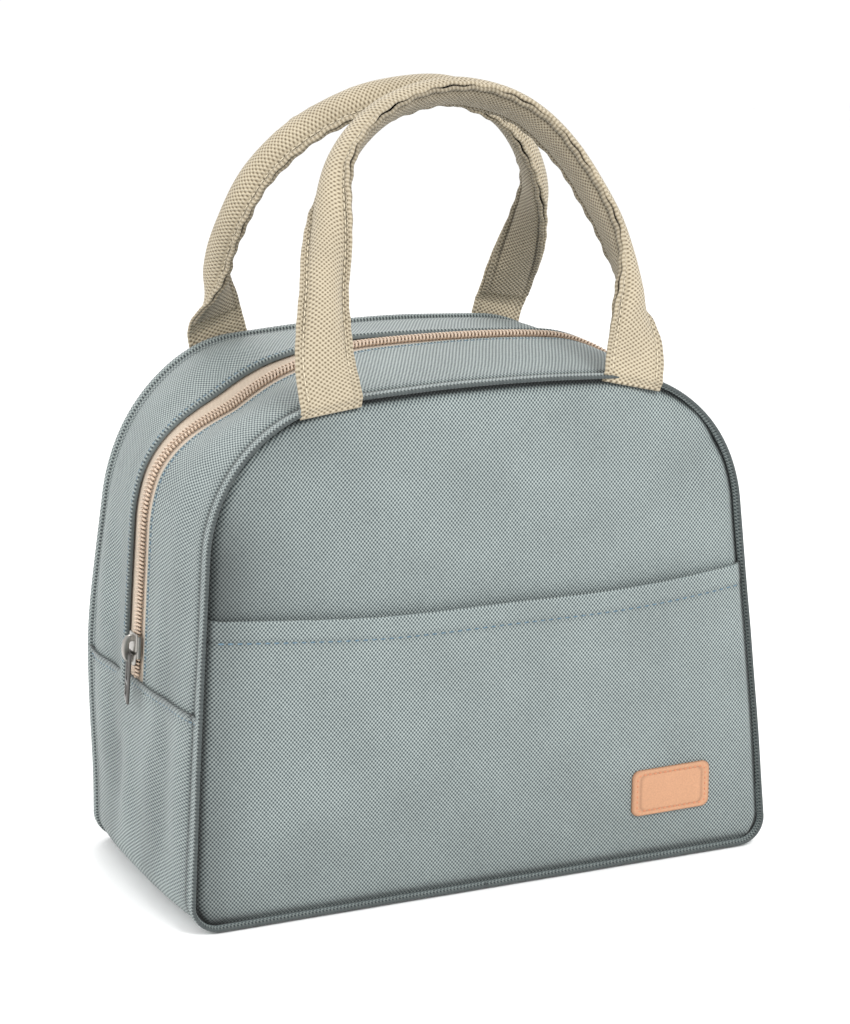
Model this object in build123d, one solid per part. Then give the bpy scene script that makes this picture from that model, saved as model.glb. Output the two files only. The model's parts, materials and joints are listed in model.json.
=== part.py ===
from build123d import *
from math import asin, atan2, cos, hypot, pi, sin, sqrt, tan
import os

# A soft insulated lunch bag. X is its width, -Y its front and Z up; the origin is the middle of the
# base, on the surface it stands on. The lower part is a tub. Above the fold the front and back halves
# part along a zipper that runs over the top, and each half carries a webbing handle.

# The arch that the bag shows from the front.
base_width = 244.0
shoulder_width = 217.0
crown_height = 200.0
shoulder_drop = 7.0
top_corner_radius = 60.0
bottom_corner_radius = 13.0

# Front to back, and where the halves part from the tub.
panel_depth = 127.0
fold_height = 83.0
fold_gap = 0.3

# The layers of the wall, from the outside in.
fabric = 0.8
foam = 4.0
lining = 0.4
layer_gap = 0.1

# The corded seam between each panel and the gusset.
piping_width = 2.4

# The open pocket across the lower front.
pocket_height = 117.0
pocket_room = 4.6
hem_height = 8.5
hem_thickness = 1.2

# The leather patch on the pocket.
patch_width = 33.0
patch_height = 19.0
patch_thickness = 1.2
patch_corner = 3.0
patch_middle_x = 80.0
patch_middle_z = 30.0

# The coil zipper.
zipper_opening = 15.0
tape_width = 15.0
tape_thickness = 0.6
coil_width = 2.7
coil_height = 1.5
coil_split = 0.1

# The slider and its pull.
slider_height = 95.0
slider_length = 13.0
slider_width = 9.6
slider_tail = 6.2
slider_plate = 1.2
slider_clearance = 0.3
slider_lift = 1.4
slider_shoulder = 0.65
slider_corner = 0.9
slider_edge = 0.35
lip_above = 4.9
lip_below = 1.3
lip_thickness = 1.2
bridge_width = 2.4
bridge_length = 8.0
bridge_bar = 1.1
bridge_foot = 1.5
bridge_step = 0.8
bridge_slope = 1.6
sunk = 0.3
pull_bar = 1.4
pull_width = 8.2
pull_length = 26.0
pull_rung = 13.0
rung_width = 2.2
pivot_clearance = 0.5

# The two webbing handles.
webbing_width = 25.0
webbing_thickness = 1.6
grip_width = 19.0
handle_spread = 61.0
handle_leg = 60.0
handle_rise = 116.5
handle_meeting_gap = 0.8
handle_offset = 1.4
inner_webbing_start = 17.0
sewn_end_proud = 0.8
notch_depth = 1.7
cut_margin = 1.0
root_gap = 0.4
twist_start = 14.0
twist_end = 96.0
handle_steps = 30

# The planes and heights that follow.
half_depth = panel_depth / 2
foam_face = half_depth - fabric - layer_gap
lining_face = foam_face - foam - layer_gap
gusset_edge = half_depth - piping_width - layer_gap
foam_inset = fabric + layer_gap
lining_inset = foam_inset + foam + layer_gap
pocket_inner = half_depth + pocket_room
pocket_outer = pocket_inner + fabric
side_angle = atan2((base_width - shoulder_width) / 2, crown_height - shoulder_drop)
handle_root_y = half_depth + handle_offset
reach = 400.0


def arch(inset):
    """The bag's outline in XZ, moved inwards all round by inset."""
    shoulder = crown_height - shoulder_drop
    foot, top = base_width / 2, shoulder_width / 2
    sides = Polyline((-top, shoulder), (-foot, 0), (foot, 0), (top, shoulder))
    crown = ThreePointArc((top, shoulder), (0, crown_height), (-top, shoulder))
    face = make_face([*sides.edges(), crown])
    face = fillet(face.vertices().group_by(Axis.Y)[0], bottom_corner_radius)
    face = fillet(face.vertices().group_by(Axis.Y)[-1], top_corner_radius)
    return offset(face, amount=-inset) if inset else face


def slab(face, y_low, y_high):
    """An XZ face given thickness from y_low to y_high."""
    y_low, y_high = sorted((y_low, y_high))
    return extrude(Pos(0, y_high, 0) * (Plane.XZ * face), amount=y_high - y_low)


def plate(inset, y_low, y_high):
    """A panel with the bag's outline."""
    return slab(arch(inset), y_low, y_high)


def ring(inset, thickness, y_low, y_high):
    """A band that follows the bag's outline all the way round."""
    return slab(arch(inset) - arch(inset + thickness), y_low, y_high)


def block(x_range, y_range, z_range):
    """A box between three pairs of limits."""
    middle = [(a + b) / 2 for a, b in (x_range, y_range, z_range)]
    return Pos(*middle) * Box(*[abs(b - a) for a, b in (x_range, y_range, z_range)])


def below_fold(shape):
    """What belongs to the tub."""
    return shape & block((-reach, reach), (-reach, reach), (-reach, fold_height - fold_gap / 2))


def above_fold(shape):
    """What belongs to a half that opens."""
    return shape & block((-reach, reach), (-reach, reach), (fold_height + fold_gap / 2, reach))


def save(shape, node):
    """Writes one piece, as a plain solid or a group of solids."""
    solids = shape.solids()
    export_step(solids[0] if len(solids) == 1 else Compound(children=list(solids)), f"parts/{node}.step")


def front_pocket():
    """The pocket's face, with the rim that joins it to the seam at its sides and base."""
    face = plate(0, -pocket_outer, -pocket_inner)
    rim = ring(0, fabric, -pocket_inner, -half_depth - layer_gap)
    whole = face + rim
    return whole & block((-reach, reach), (-reach, reach), (-reach, pocket_height - hem_height - layer_gap))


def pocket_hem():
    """The doubled edge along the pocket's mouth."""
    band = plate(0, -pocket_inner - hem_thickness, -pocket_inner)
    return band & block((-reach, reach), (-reach, reach), (pocket_height - hem_height, pocket_height))


def leather_patch():
    """The plain patch sewn to the pocket's lower right."""
    shape = Pos(patch_middle_x, patch_middle_z) * RectangleRounded(patch_width, patch_height, patch_corner)
    back = -pocket_outer - layer_gap
    return slab(shape, back - patch_thickness, back)


def across_seam(x, width):
    """The stretch of the top seam that a handle's webbing of this width crosses."""
    return block((x - width / 2, x + width / 2), (-reach, reach), (crown_height / 2, reach))


def piping(side):
    """The corded seam round one panel."""
    return ring(0, piping_width, side * half_depth, side * (half_depth - piping_width))


def handle_notch(side, x):
    """The place in the seam where one end of a handle goes in."""
    near, far = side * (half_depth - piping_width - cut_margin), side * (half_depth + cut_margin)
    return ring(-cut_margin, cut_margin + notch_depth, near, far) & across_seam(x, webbing_width + 2 * layer_gap)


def sewn_end(side, x):
    """The end of a handle's webbing where the seam holds it."""
    middle = half_depth - piping_width / 2
    near, far = side * (middle - webbing_thickness / 2), side * (middle + webbing_thickness / 2)
    height = notch_depth - layer_gap + sewn_end_proud
    return ring(-sewn_end_proud, height, near, far) & across_seam(x, webbing_width)


def build_tub():
    """Everything below the fold."""
    save(below_fold(ring(0, fabric, -gusset_edge, gusset_edge)), "base_and_side_gusset")
    save(below_fold(ring(foam_inset, foam, -lining_face, lining_face)), "base_and_side_foam")
    inner_edge = lining_face - lining - layer_gap
    save(below_fold(ring(lining_inset, lining, -inner_edge, inner_edge)), "base_and_side_lining")
    for name, side in (("front", -1), ("back", 1)):
        save(below_fold(panel_fabric(side)), f"{name}_panel_lower")
        save(below_fold(panel_foam(side)), f"{name}_foam_lower")
        save(below_fold(panel_lining(side)), f"{name}_lining_lower")
        save(below_fold(piping(side)), f"{name}_piping_lower")
    save(below_fold(front_pocket()), "front_pocket_lower")
    save(leather_patch(), "leather_patch")


def panel_fabric(side):
    """The outer cloth of the front or back."""
    return plate(piping_width + layer_gap, side * half_depth, side * (half_depth - fabric))


def panel_foam(side):
    """The insulation behind it."""
    return plate(piping_width + layer_gap, side * foam_face, side * (foam_face - foam))


def panel_lining(side):
    """The foil lining inside."""
    return plate(lining_inset, side * lining_face, side * (lining_face - lining))


def build_half(name, side):
    """One half above the fold: panel, its strip of gusset, and its side of the zipper."""
    save(above_fold(panel_fabric(side)), f"{name}_panel_upper")
    save(above_fold(panel_foam(side)), f"{name}_foam_upper")
    save(above_fold(panel_lining(side)), f"{name}_lining_upper")
    fold_edge = side * zipper_opening / 2
    tape_outer = side * tape_width
    save(above_fold(ring(0, fabric, side * gusset_edge, fold_edge)), f"{name}_zipper_gusset")
    foam_edges = side * lining_face, side * (tape_width + layer_gap)
    save(above_fold(ring(foam_inset, foam, *foam_edges)), f"{name}_gusset_foam")
    lining_edges = side * (lining_face - lining - layer_gap), fold_edge
    save(above_fold(ring(lining_inset, lining, *lining_edges)), f"{name}_gusset_lining")
    tape = ring(foam_inset, tape_thickness, tape_outer, side * coil_split)
    save(above_fold(tape), f"{name}_zipper_tape")
    coil_inset = foam_inset - layer_gap - coil_height
    coil = ring(coil_inset, coil_height, side * (coil_split + coil_width), side * coil_split)
    save(above_fold(coil), f"{name}_zipper_coil")
    cord = above_fold(piping(side))
    for where, x in (("left", -handle_spread), ("right", handle_spread)):
        cord = cord - handle_notch(side, x)
        save(sewn_end(side, x), f"{name}_handle_{where}_sewn_end")
    save(cord, f"{name}_piping_upper")


def build_pocket_top():
    """The stretch of the pocket that moves with the front half."""
    save(above_fold(front_pocket()), "front_pocket_upper")
    save(pocket_hem(), "front_pocket_hem")


def side_x(z):
    """Where the bag's left side is at a height."""
    return -(base_width / 2 - z * tan(side_angle))


def crown_at(x):
    """How high the crown's arc is over a place along the width."""
    radius = ((shoulder_width / 2) ** 2 + shoulder_drop**2) / (2 * shoulder_drop)
    return crown_height - radius + sqrt(radius**2 - x**2)


def slider_plane():
    """On the left side at the slider's middle: local x to the front, y up the zipper, z outwards."""
    normal = (-cos(side_angle), 0, sin(side_angle))
    return Plane(origin=(side_x(slider_height), 0, slider_height), x_dir=(0, -1, 0), z_dir=normal)


coil_top = coil_height + layer_gap - foam_inset
plate_low = coil_top + slider_lift
plate_high = plate_low + slider_plate
window_height = pull_bar + 2 * pivot_clearance
pull_axis_out = plate_high + window_height / 2
bridge_top = plate_high + window_height + bridge_bar


def slider_body():
    """A shouldered plate over the chain, a lip round the front coil, and the bridge that holds the pull."""
    half, tail, length = slider_width / 2, slider_tail / 2, slider_length / 2
    outline = make_face(
        Polyline(
            (-half, length), (half, length), (half, -slider_shoulder), (tail, -length),
            (-tail, -length), (-half, -slider_shoulder), close=True,
        )
    )
    body = extrude(Pos(0, 0, plate_low) * outline, amount=slider_plate)
    body = fillet(body.edges().filter_by(Axis.Z), slider_corner)
    body = chamfer(body.faces().sort_by(Axis.Z)[-1].edges(), slider_edge)
    lip_low = -foam_inset + slider_clearance
    lip_x = coil_split + coil_width + slider_clearance
    lip = block((lip_x, lip_x + lip_thickness), (-lip_below, lip_above), (lip_low, plate_low + sunk))
    span = bridge_length / 2
    foot, knee = plate_high - sunk, plate_high + bridge_step
    flank = make_face(
        Polyline(
            (-span, foot), (-span, knee), (-span + bridge_slope, bridge_top),
            (span - bridge_slope, bridge_top), (span, knee), (span, foot), close=True,
        )
    )
    side = Plane(origin=(-bridge_width / 2, 0, 0), x_dir=(0, 1, 0), z_dir=(1, 0, 0))
    bridge = extrude(side * flank, amount=bridge_width)
    window = block((-reach, reach), (-span + bridge_foot, span - bridge_foot),
                   (plate_high, plate_high + window_height))
    return slider_plane().location * (body + lip + (bridge - window))


def pull_drop():
    """How far below the slider's middle the pull's top bar rests, at the lower end of the window."""
    return bridge_length / 2 - bridge_foot - pivot_clearance - pull_bar / 2


def pull_frame():
    """The ladder-shaped pull, hanging from its round top bar and lying along the bag's side."""
    half, top = pull_width / 2, -pull_drop()
    depth = (pull_axis_out - pull_bar / 2, pull_axis_out + pull_bar / 2)
    pull = Pos(0, top, pull_axis_out) * Rot(0, 90, 0) * Cylinder(pull_bar / 2, pull_width)
    for side in (-1, 1):
        pull += block((side * half, side * (half - pull_bar)), (top - pull_length, top), depth)
    for rung in (pull_rung, pull_length):
        pull += block((-half, half), (top - rung, top - rung + rung_width), depth)
    return slider_plane().location * pull


def build_slider():
    """The slider and the pull that swings on it."""
    save(slider_body(), "zipper_slider_body")
    save(pull_frame(), "zipper_pull_frame")


def handle_stations():
    """Along the arch: position in the handle's own plane, the way it runs, and its length so far."""
    bow = handle_rise - handle_leg
    half_arc = pi * (bow + handle_spread) / 4
    total = 2 * (handle_leg + half_arc)
    for k in range(handle_steps + 1):
        run = total * k / handle_steps
        if run <= handle_leg:
            yield (-handle_spread, run), (0, 1), run
        elif run >= total - handle_leg:
            yield (handle_spread, total - run), (0, -1), total - run
        else:
            turn = pi * (run - handle_leg) / (2 * half_arc)
            spot = (-handle_spread * cos(turn), handle_leg + bow * sin(turn))
            ahead = Vector(handle_spread * sin(turn), bow * cos(turn)).normalized()
            yield spot, (ahead.X, ahead.Y), min(run, total - run)


def smooth(value):
    """A blend from 0 to 1 that starts and ends level."""
    value = min(max(value, 0), 1)
    return value * value * (3 - 2 * value)


def handle_lean():
    """How far each handle leans in, so that the two all but meet at the top."""
    top, half = handle_rise + webbing_thickness / 2, grip_width / 2
    return asin((handle_root_y - handle_meeting_gap / 2) / hypot(top, half)) - atan2(half, top)


def handle_plane(side):
    """The plane a handle lies in: local x across, y up the legs, z to the outside of the bag."""
    lean = handle_lean()
    up = Vector(0, -side * sin(lean), cos(lean))
    root_z = crown_at(handle_spread - webbing_width / 2) + sewn_end_proud
    return Plane(origin=(0, side * handle_root_y, root_z), x_dir=(1, 0, 0), z_dir=Vector(1, 0, 0).cross(up))


def webbing(side, low, high, start):
    """A band of webbing along the handle, its faces low and high off the middle line. It is sewn flat to
    the bag at its ends and turns on edge towards the top, where it is also folded narrower."""
    plane = handle_plane(side)
    outwards = 1 if plane.z_dir.Y * side > 0 else -1
    sections = []
    for (x, up), (run_x, run_y), run in handle_stations():
        if run < start:
            continue
        blend = smooth((run - twist_start) / (twist_end - twist_start))
        turn = blend * pi / 2
        width = webbing_width + (grip_width - webbing_width) * blend
        away = Vector(-run_y, run_x, 0)
        face_way = Vector(0, 0, outwards) * cos(turn) + away * sin(turn)
        across = Vector(run_x, run_y, 0).cross(face_way)
        middle = Vector(x, max(up, root_gap), 0)
        corners = [
            middle + across * (s * width / 2) + face_way * h
            for s, h in ((-1, low), (1, low), (1, high), (-1, high))
        ]
        sections.append(Wire.make_polygon([plane.from_local_coords(c) for c in corners]))
    return Solid.make_loft(sections, ruled=True)


def build_handles():
    """Each handle is two bands of webbing, one over the other."""
    half = webbing_thickness / 2
    for name, side in (("front", -1), ("back", 1)):
        save(webbing(side, -half, half, 0), f"{name}_handle_outer_webbing")
        under = -half - layer_gap
        save(webbing(side, under - webbing_thickness, under, inner_webbing_start),
             f"{name}_handle_inner_webbing")


os.makedirs("parts", exist_ok=True)
build_tub()
build_half("front", -1)
build_half("back", 1)
build_pocket_top()
build_slider()
build_handles()

hinge = slider_plane().from_local_coords(Vector(0, -pull_drop(), pull_axis_out))
root = handle_plane(-1).origin
print("pull hinge", [round(v, 3) for v in hinge])
print("slider way", round(sin(side_angle), 5), 0, round(cos(side_angle), 5))
print("front handle root", [round(v, 3) for v in root], "lean", round(handle_lean() * 180 / pi, 2))
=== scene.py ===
# %% [markdown]
# # A soft lunch bag, step by step
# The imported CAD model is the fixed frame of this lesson: it says where every seam, fold and joint is.
# Each step below makes one kind of piece as a surface worked out with numpy, and gives it its finish.
# All sizes are in millimetres until the last moment, when a mesh is made in metres.

# %% Load the frame
import json

import bmesh
import bpy
import numpy as np
from mathutils import Matrix, Vector


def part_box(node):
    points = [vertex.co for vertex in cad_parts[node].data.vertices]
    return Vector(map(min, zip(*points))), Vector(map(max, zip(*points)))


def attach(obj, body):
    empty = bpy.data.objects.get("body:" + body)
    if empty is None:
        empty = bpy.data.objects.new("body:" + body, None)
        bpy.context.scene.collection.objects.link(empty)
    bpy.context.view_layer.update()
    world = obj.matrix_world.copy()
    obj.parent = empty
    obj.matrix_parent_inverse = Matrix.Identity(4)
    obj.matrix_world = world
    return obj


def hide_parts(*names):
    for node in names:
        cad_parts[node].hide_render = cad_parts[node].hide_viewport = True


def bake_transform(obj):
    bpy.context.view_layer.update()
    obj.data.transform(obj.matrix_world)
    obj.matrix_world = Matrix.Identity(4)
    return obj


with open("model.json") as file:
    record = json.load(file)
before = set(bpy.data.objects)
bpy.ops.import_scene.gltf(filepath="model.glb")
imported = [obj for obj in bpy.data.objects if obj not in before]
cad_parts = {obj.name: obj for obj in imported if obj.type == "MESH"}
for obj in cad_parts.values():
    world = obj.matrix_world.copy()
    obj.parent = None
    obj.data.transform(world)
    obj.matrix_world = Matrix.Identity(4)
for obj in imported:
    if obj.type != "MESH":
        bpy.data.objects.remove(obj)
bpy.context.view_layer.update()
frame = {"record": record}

MM = 0.001
both_sides = (("front", -1), ("back", 1))

# %% [markdown]
# The main sizes come from the CAD nodes, so the soft pieces always fit the frame they are made around.
# Only the outline's half widths and radii, and the soft swelling of the cloth, are chosen here.

# %% Main sizes, in millimetres


def node_box(node):
    """The lowest and highest corner of a CAD node, in millimetres."""
    low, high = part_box(node)
    return np.array(low) / MM, np.array(high) / MM


half_depth = -node_box("front_panel_lower")[0][1]
crown_height = node_box("front_piping_upper")[1][2]
fold_height = node_box("base_and_side_gusset")[1][2]
pocket_height = node_box("front_pocket_hem")[1][2]
zip_edge = node_box("back_zipper_gusset")[0][1]
gusset_edge = node_box("base_and_side_gusset")[1][1]
patch_low, patch_high = node_box("leather_patch")

foot_half = 122.0
shoulder_half = 108.5
shoulder_height = 193.0
foot_radius = 13.0
shoulder_radius = 60.0
print("half depth", half_depth, "crown", crown_height, "fold", fold_height, "zip edge", zip_edge)

# %% [markdown]
# ## The camera and the light
# The camera stands in front and to the left, a little above the bag. A long lens keeps the upright
# edges nearly parallel. The light is a white room with three large soft lamps: one in front, a weaker
# one at the left and one behind.

# %% Camera
view_side, view_height, view_roll = np.radians([-22.8, 12.0, -1.2])
view_distance = 1076.4
view_target = np.array([4.7, 0.0, 136.8])

camera_data = bpy.data.cameras.new("camera")
camera_data.lens = 94.9
camera_data.clip_start, camera_data.clip_end = 0.05, 30
camera = bpy.data.objects.new("camera", camera_data)
bpy.context.scene.collection.objects.link(camera)
bpy.context.scene.camera = camera
level = np.cos(view_height)
to_camera = np.array([np.sin(view_side) * level, -np.cos(view_side) * level, np.sin(view_height)])
turned = Vector(to_camera).to_track_quat("Z", "Y").to_matrix().to_4x4() @ Matrix.Rotation(view_roll, 4, "Z")
camera.matrix_world = Matrix.Translation(Vector((view_target + to_camera * view_distance) * MM)) @ turned
print("camera at", [round(v, 3) for v in camera.matrix_world.translation])

# %% Light and floor
world = bpy.data.worlds.new("white_room")
bpy.context.scene.world = world
world.use_nodes = True
world.node_tree.nodes["Background"].inputs["Color"].default_value = (1.0, 1.0, 1.0, 1.0)
world.node_tree.nodes["Background"].inputs["Strength"].default_value = 1.04
bpy.context.scene.view_settings.view_transform = "Standard"


def soft_lamp(name, place, size, watts):
    """A square lamp at place, in metres, that looks at the bag."""
    data = bpy.data.lights.new(name, "AREA")
    data.size = size
    data.energy = watts
    lamp = bpy.data.objects.new(name, data)
    bpy.context.scene.collection.objects.link(lamp)
    lamp.location = place
    lamp.rotation_euler = (Vector((0, 0, 0.12)) - Vector(place)).to_track_quat("-Z", "Y").to_euler()
    return lamp


soft_lamp("key_lamp", (0.35, -1.5, 1.5), 0.7, 30)
soft_lamp("side_lamp", (-1.5, -0.1, 1.0), 0.8, 11)
soft_lamp("back_lamp", (0.3, 1.6, 1.3), 0.9, 9)

# %% [markdown]
# ## From numbers to meshes
# Every new piece is a grid of points. A closed profile carried along a path makes a closed skin, when the
# profile closes on itself and both ends are capped. The cloth's own coordinates, in millimetres along and
# across it, go into a UV map named weave, so the woven pattern follows the cloth round every corner.

# %% Mesh helpers


def make_piece(name, points, faces, weave, material, sharp=50.0, shade=None):
    """A mesh object from points in millimetres, quads or triangles, and one weave coordinate a point. Shade,
    from 0 to 1 at each point, is painted shade: how far its colour is darkened where it lies in seams, creases and
    shadow."""
    mesh = bpy.data.meshes.new(name)
    mesh.from_pydata((points * MM).tolist(), [], [[v for v in f if v >= 0] for f in faces.tolist()])
    loops = np.zeros(len(mesh.loops), np.int32)
    mesh.loops.foreach_get("vertex_index", loops)
    layer = mesh.uv_layers.new(name="weave")
    layer.data.foreach_set("uv", weave[loops].astype(np.float32).ravel())
    work = bmesh.new()
    work.from_mesh(mesh)
    bmesh.ops.recalc_face_normals(work, faces=work.faces)
    work.to_mesh(mesh)
    work.free()
    mesh.polygons.foreach_set("use_smooth", np.ones(len(mesh.polygons), bool))
    mesh.set_sharp_from_angle(angle=np.radians(sharp))
    # The painted shade is kept as an attribute, and every material darkens its colour by it.
    if shade is not None:
        depth = mesh.attributes.new("seam_shade", "FLOAT", "POINT")
        depth.data.foreach_set("value", shade.astype(np.float32).ravel())
    mesh.materials.append(material)
    piece = bpy.data.objects.new(name, mesh)
    bpy.context.scene.collection.objects.link(piece)
    return piece


def band_faces(rows, columns, closed_rows=False):
    """Quads of a grid whose columns close on themselves, with both ends capped unless the rows close too."""
    index = np.arange(rows * columns).reshape(rows, columns)
    after = np.roll(index, -1, axis=1)
    if closed_rows:
        next_row = np.roll(index, -1, axis=0)
        after_next = np.roll(after, -1, axis=0)
        return np.stack([index, after, after_next, next_row], -1).reshape(-1, 4)
    sides = np.stack([index[:-1], after[:-1], after[1:], index[1:]], -1).reshape(-1, 4)
    half = columns // 2
    near = np.arange(half - 1)
    far = columns - 1 - near
    cap = np.stack([near, near + 1, far - 1, far], -1)
    return np.concatenate([sides, cap[:, ::-1], cap + (rows - 1) * columns])


def skin(name, outer, inner, weave, material, shade=None):
    """A closed wall between two grids of the same size: the profile runs out along one and back along
    the other, and is carried down the rows."""
    rows, columns = outer.shape[:2]
    points = np.concatenate([outer, inner[:, ::-1]], axis=1)
    cloth = np.concatenate([weave, weave[:, ::-1]], axis=1)
    faces = band_faces(rows, 2 * columns)
    if shade is not None:
        shade = np.concatenate([shade, shade[:, ::-1]], axis=1)
    return make_piece(name, points.reshape(-1, 3), faces, cloth.reshape(-1, 2), material, shade=shade)


def disc_skin(name, outer, inner, weave, material, shade=None):
    """A closed wall from two polar grids: row 0 is the rim and the last row is next to the pole. The rim
    joins the two, and each pole is one point."""
    rings, around = outer.shape[:2]
    points = np.concatenate([inner[::-1], outer]).reshape(-1, 3)
    cloth = np.concatenate([weave[::-1], weave]).reshape(-1, 2)
    index = np.arange(2 * rings * around).reshape(2 * rings, around)
    after = np.roll(index, -1, axis=1)
    quads = np.stack([index[:-1], after[:-1], after[1:], index[1:]], -1).reshape(-1, 4)
    poles = len(points) + np.arange(2)
    fans = []
    for ring, following, pole in ((index[0], after[0], poles[0]), (index[-1], after[-1], poles[1])):
        fans.append(np.stack([ring, following, np.full(around, pole), np.full(around, -1)], -1))
    middle = [inner[-1].mean(0), outer[-1].mean(0)]
    points = np.concatenate([points, middle])
    cloth = np.concatenate([cloth, np.repeat(weave[-1].mean(0)[None], 2, axis=0)])
    if shade is not None:
        shade = np.concatenate([shade[::-1].ravel(), shade.ravel(), np.repeat(shade[-1].mean(), 2)])
    return make_piece(name, points, np.concatenate([quads, *fans]), cloth, material, shade=shade)


def unit(vectors):
    """Vectors of length one along the last axis."""
    return vectors / np.maximum(np.linalg.norm(vectors, axis=-1, keepdims=True), 1e-9)


def bell(away, reach):
    """A soft bump: 1 where away is nothing, falling off with the square of away over reach."""
    return np.exp(-((away / reach) ** 2))


def smooth(value):
    """From 0 to 1 with level ends."""
    value = np.clip(value, 0, 1)
    return value * value * (3 - 2 * value)


def run_along(path):
    """The length from the first point of a line to each of its points."""
    return np.concatenate([[0], np.cumsum(np.linalg.norm(np.diff(path, axis=0), axis=1))])


def evenly(path, count, closed=False):
    """A flat line with its points at even lengths, and the length at each of them."""
    run = run_along(path)
    even = np.linspace(0, run[-1], count, endpoint=not closed)
    return np.stack([np.interp(even, run, path[:, k]) for k in range(2)], -1), even


def spaced(path, pitch):
    """Evenly spaced places along a line of points, as fractional indices into it."""
    run = run_along(path)
    count = max(int(run[-1] / pitch), 2)
    at = (np.arange(count) + 0.5) * run[-1] / count
    return np.interp(at, run, np.arange(len(path)))


def along(values, at):
    """Rows of an array read between its rows, at fractional indices."""
    low = np.clip(np.floor(at).astype(int), 0, len(values) - 2)
    share = (at - low)[:, None]
    return values[low] * (1 - share) + values[low + 1] * share


# %% [markdown]
# ## The outline and the soft wall
# From the front the bag is an arch: a level base, two sides that lean in, round shoulders and a slow crown.
# The same arch carries the gusset, the seams, the zipper and the lining, each a little further in or out.
# Real cloth swells between its seams, so a place on the gusset moves out by a crown that fades at each seam.

# %% The arch


def arch_table(count=4000):
    """The right half of the arch from the crown down to the middle of the base. Straight runs join arcs:
    the crown's circle, the shoulder's, the side, the foot's and the base. Gives length, x, z and the way out."""
    lean = (foot_half - shoulder_half) / shoulder_height
    angle = np.arctan(lean)
    drop = crown_height - shoulder_height
    crown_radius = (shoulder_half**2 + drop**2) / (2 * drop)
    crown_z = crown_height - crown_radius
    line = foot_half - shoulder_radius / np.cos(angle)
    b = line * lean + crown_z
    c = line**2 + crown_z**2 - (crown_radius - shoulder_radius) ** 2
    shoulder_z = (b + np.sqrt(b**2 - (1 + lean**2) * c)) / (1 + lean**2)
    shoulder_x = line - shoulder_z * lean
    meet = np.arctan2(shoulder_z - crown_z, shoulder_x)
    foot_x = foot_half - foot_radius * lean - foot_radius / np.cos(angle)
    turn = np.linspace(np.pi / 2, meet, count)
    crown = np.stack([crown_radius * np.cos(turn), crown_z + crown_radius * np.sin(turn)], -1)
    turn = np.linspace(meet, angle, count)
    shoulder = np.stack([np.cos(turn), np.sin(turn)], -1) * shoulder_radius + (shoulder_x, shoulder_z)
    turn = np.linspace(angle, -np.pi / 2, count)
    foot = np.stack([np.cos(turn), np.sin(turn)], -1) * foot_radius + (foot_x, foot_radius)
    line, even = evenly(np.concatenate([crown, shoulder, foot, [(0.0, 0.0)]]), count)
    x, z = line.T
    ahead = unit(np.stack([np.gradient(x), np.gradient(z)], -1))
    return even, x, z, -ahead[:, 1], ahead[:, 0]


arch_run, arch_x, arch_z, arch_out_x, arch_out_z = arch_table()
arch_length = arch_run[-1]
fold_run = np.interp(-fold_height, -arch_z, arch_run)


def arch_at(s):
    """Places on the arch: s is the length from the crown, positive to the right and negative to the left."""
    reach = np.abs(s)
    sign = np.where(s < 0, -1.0, 1.0)
    return (
        np.interp(reach, arch_run, arch_x) * sign, np.interp(reach, arch_run, arch_z),
        np.interp(reach, arch_run, arch_out_x) * sign, np.interp(reach, arch_run, arch_out_z),
    )


def half_width(z):
    """How far the arch reaches to the right at a height."""
    return np.interp(z, arch_z[::-1], arch_x[::-1])


print("half arch length", round(arch_length, 1), "fold at", round(float(fold_run), 1))

# %% [markdown]
# A filled bag is never a perfect box. One field moves every soft point the same way, so neighbouring pieces
# stay together: the back stands a little taller, the top leans a touch to the right, the foot spreads to
# the right, the left of the back bulges, and the top dips behind the right end of the front handle.

# %% How the bag settles
back_rise = 9.5
top_lean = 3.2
top_dent = 2.6
foot_flare = 4.6
back_bulge = 5.4


def settle(points):
    """Moves points as the soft bag slumps: up at the back, right at the top, down in one soft dent."""
    x, y, z = points[..., 0], points[..., 1], points[..., 2]
    high = np.clip(z / crown_height, 0, 1.2)
    up = back_rise * np.clip(y / half_depth / 2 + 0.5, 0, 1.1) * high**6
    right = top_lean * high**2 + foot_flare * smooth(x / foot_half) * (1 - smooth((z - 30) / 160))
    dent = top_dent * bell(x - 82, 24) * bell(y - 18, 24) * smooth((z - 150) / 30)
    bulge = back_bulge * bell(z - 88, 52) * smooth(y / half_depth) * smooth(-x / foot_half)
    return np.stack([x + right - bulge, y, z + up - dent], -1)


side_rise, crown_rise, base_rise = 4.4, 3.4, 1.4
crease_in = 5.2
crown_saddle = 9.6
seam_in, crown_seam_in, base_seam_in = 3.4, 2.5, 1.4


def seam_tuck(out_z):
    """How far inside the arch the seams lie, from the way the arch faces: most at the sides."""
    return seam_in + np.where(out_z < 0, (seam_in - base_seam_in) * out_z, (crown_seam_in - seam_in) * out_z)


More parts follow.
